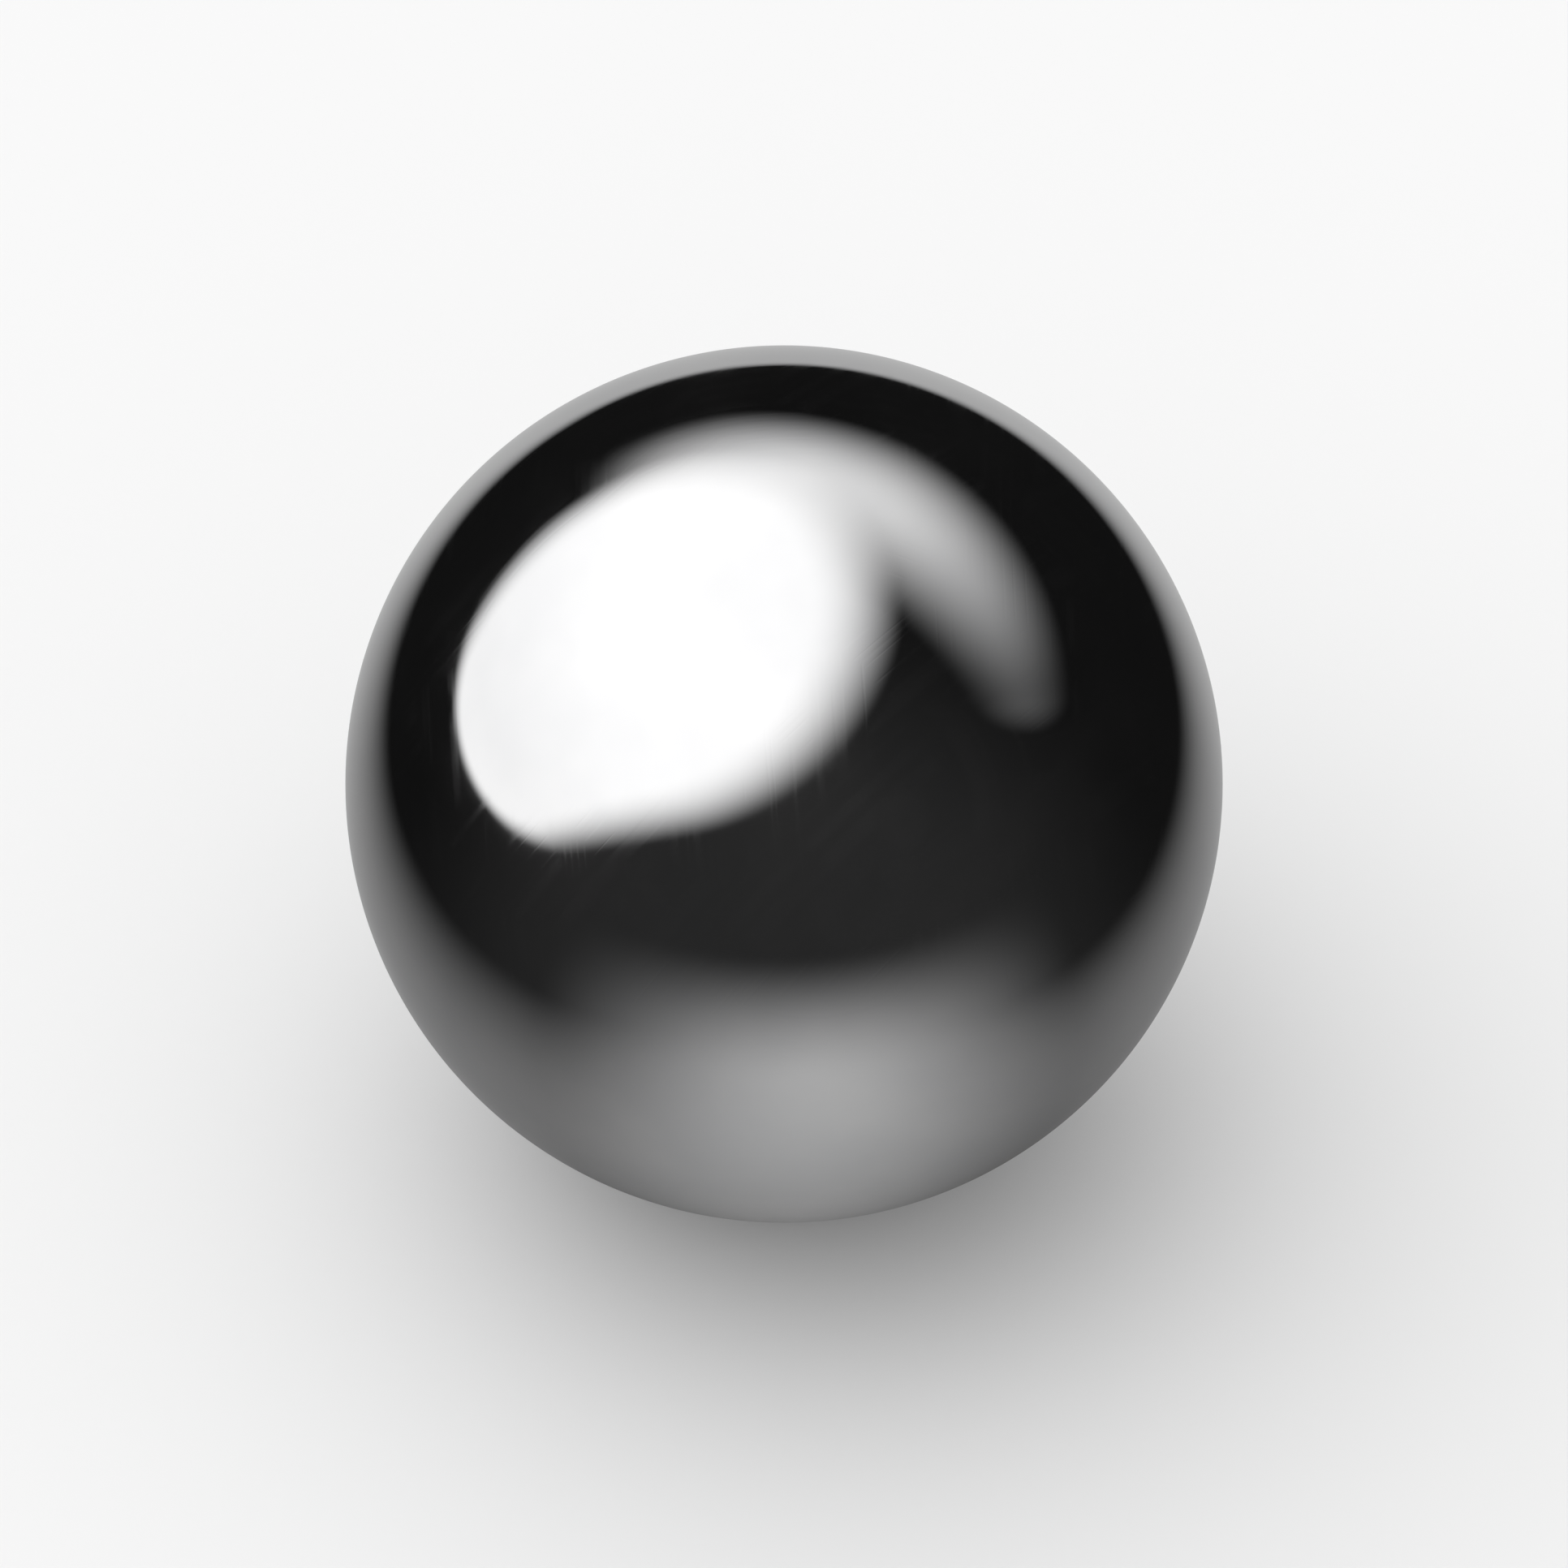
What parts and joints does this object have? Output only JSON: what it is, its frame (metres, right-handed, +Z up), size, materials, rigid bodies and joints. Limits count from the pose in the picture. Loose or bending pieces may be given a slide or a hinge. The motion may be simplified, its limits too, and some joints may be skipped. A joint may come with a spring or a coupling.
{
  "type": "steel ball",
  "caption": "Small solid steel ball, a plain true sphere polished to a mirror, used loose to roll, scour, mix or run in a seat.",
  "frame": {"origin": "centre of the ball", "axes": "+Z up; the ball is the same about every axis, so +X and +Y are free choices"},
  "size_m": [0.004, 0.004, 0.004],
  "materials": {
    "polished_steel": "mirror-polished bare steel, lapped all over"
  },
  "bodies": {
    "root": {"ball": "polished_steel"}
  },
  "joints": []
}
